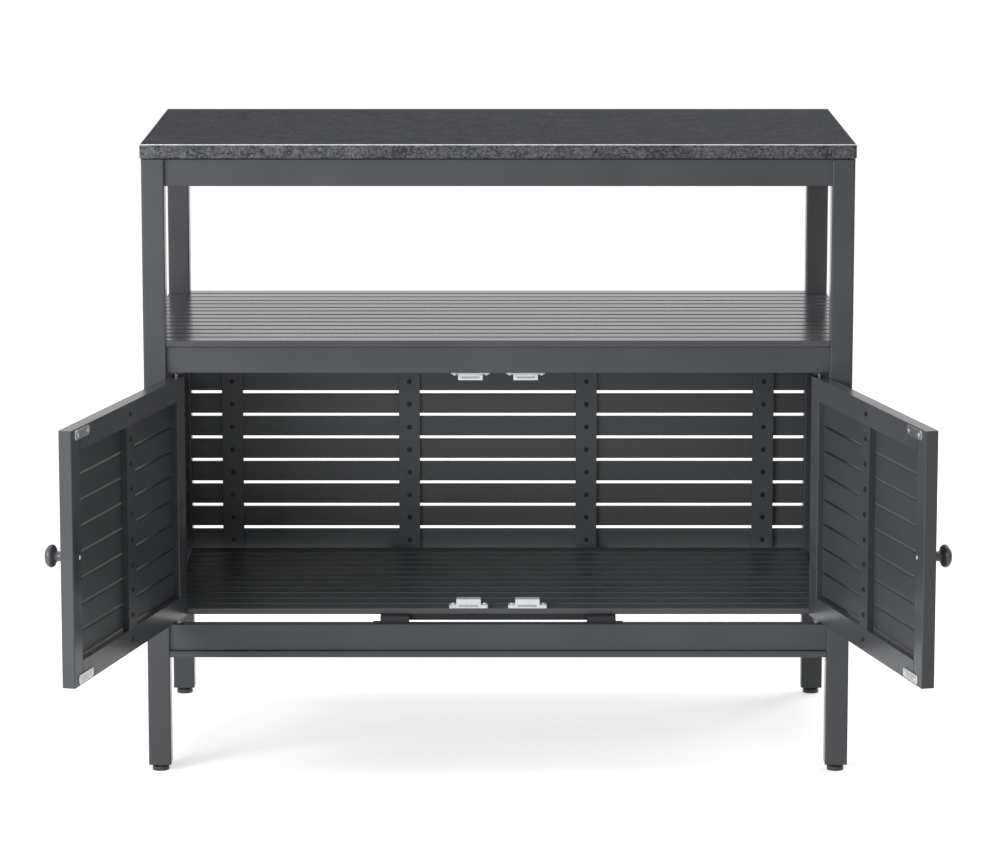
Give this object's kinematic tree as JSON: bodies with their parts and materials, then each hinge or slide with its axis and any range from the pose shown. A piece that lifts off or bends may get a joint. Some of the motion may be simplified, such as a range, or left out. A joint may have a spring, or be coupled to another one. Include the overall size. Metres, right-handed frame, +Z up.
{
  "type": "outdoor kitchen cabinet",
  "caption": "Outdoor kitchen cabinet with a stone worktop, an open bay above a slatted shelf, and a slatted compartment behind hinged doors.",
  "frame": {"origin": "on the floor, in the middle of the four levelling feet", "axes": "+X to the right as seen from the doors, +Y to the back, +Z up"},
  "size_m": [1.1996, 0.923, 0.9],
  "materials": {
    "stone": "dark granite, fine speckle, polished",
    "powder_coat": "anthracite powder coat on aluminium",
    "rubber_pad": "matt",
    "dark_plastic": "matt",
    "foot_plastic": "matt black",
    "white_plastic": "satin white",
    "magnet": "bare",
    "zinc_plate": "zinc plated",
    "screw_steel": "blackened steel",
    "knob_metal": "turned, anthracite lacquer"
  },
  "bodies": {
    "cabinet": {"back_battens": "powder_coat", "back_screws": "screw_steel", "back_slats": "powder_coat", "base_rail_front": "powder_coat", "base_rail_rear": "powder_coat", "base_side_rails": "powder_coat", "base_trim": "powder_coat", "catch_housings": "white_plastic", "catch_magnets": "magnet", "catch_screws": "zinc_plate", "floor_bearers": "powder_coat", "floor_cross_strip": "powder_coat", "floor_slats": "powder_coat", "foot_inserts": "dark_plastic", "leg_caps": "dark_plastic", "leg_front_left": "powder_coat", "leg_front_right": "powder_coat", "leg_rear_left": "powder_coat", "leg_rear_right": "powder_coat", "pivot_bushes": "dark_plastic", "shelf_battens": "powder_coat", "shelf_edge_slats": "powder_coat", "shelf_rail_front": "powder_coat", "shelf_rail_rear": "powder_coat", "shelf_side_rails": "powder_coat", "shelf_slat_plugs": "dark_plastic", "shelf_slats": "powder_coat", "side_battens": "powder_coat", "side_screws": "screw_steel", "side_slats": "powder_coat", "slab_pads": "rubber_pad", "top_rail_front": "powder_coat", "top_rail_rear": "powder_coat", "top_side_rails": "powder_coat", "worktop_slab": "stone"},
    "door_left": {"door_left_end_caps": "dark_plastic", "door_left_knob": "knob_metal", "door_left_mid_stile": "powder_coat", "door_left_pivot_pins": "zinc_plate", "door_left_plated_screws": "zinc_plate", "door_left_rails": "powder_coat", "door_left_screws": "screw_steel", "door_left_slats": "powder_coat", "door_left_stiles": "powder_coat", "door_left_strike_plates": "zinc_plate"},
    "door_right": {"door_right_end_caps": "dark_plastic", "door_right_knob": "knob_metal", "door_right_mid_stile": "powder_coat", "door_right_pivot_pins": "zinc_plate", "door_right_plated_screws": "zinc_plate", "door_right_rails": "powder_coat", "door_right_screws": "screw_steel", "door_right_slats": "powder_coat", "door_right_stiles": "powder_coat", "door_right_strike_plates": "zinc_plate"},
    "levelling_foot_front_left": {"foot_front_left": "foot_plastic"},
    "levelling_foot_front_right": {"foot_front_right": "foot_plastic"},
    "levelling_foot_rear_left": {"foot_rear_left": "foot_plastic"},
    "levelling_foot_rear_right": {"foot_rear_right": "foot_plastic"}
  },
  "joints": [
    {"name": "door_left_hinge", "type": "hinge", "parent": "cabinet", "child": "door_left", "pos_m": [-0.45346, -0.2335, 0.397], "axis": [0, 0, 1], "range_deg": [0, 104.5]},
    {"name": "door_right_hinge", "type": "hinge", "parent": "cabinet", "child": "door_right", "pos_m": [0.45346, -0.2335, 0.397], "axis": [0, 0, -1], "range_deg": [0, 104.5]},
    {"name": "levelling_foot_front_left_thread", "type": "slide", "parent": "cabinet", "child": "levelling_foot_front_left", "axis": [0, 0, -1], "range_m": [0, 0.01]},
    {"name": "levelling_foot_front_right_thread", "type": "slide", "parent": "cabinet", "child": "levelling_foot_front_right", "axis": [0, 0, -1], "range_m": [0, 0.01]},
    {"name": "levelling_foot_rear_left_thread", "type": "slide", "parent": "cabinet", "child": "levelling_foot_rear_left", "axis": [0, 0, -1], "range_m": [0, 0.01]},
    {"name": "levelling_foot_rear_right_thread", "type": "slide", "parent": "cabinet", "child": "levelling_foot_rear_right", "axis": [0, 0, -1], "range_m": [0, 0.01]}
  ]
}
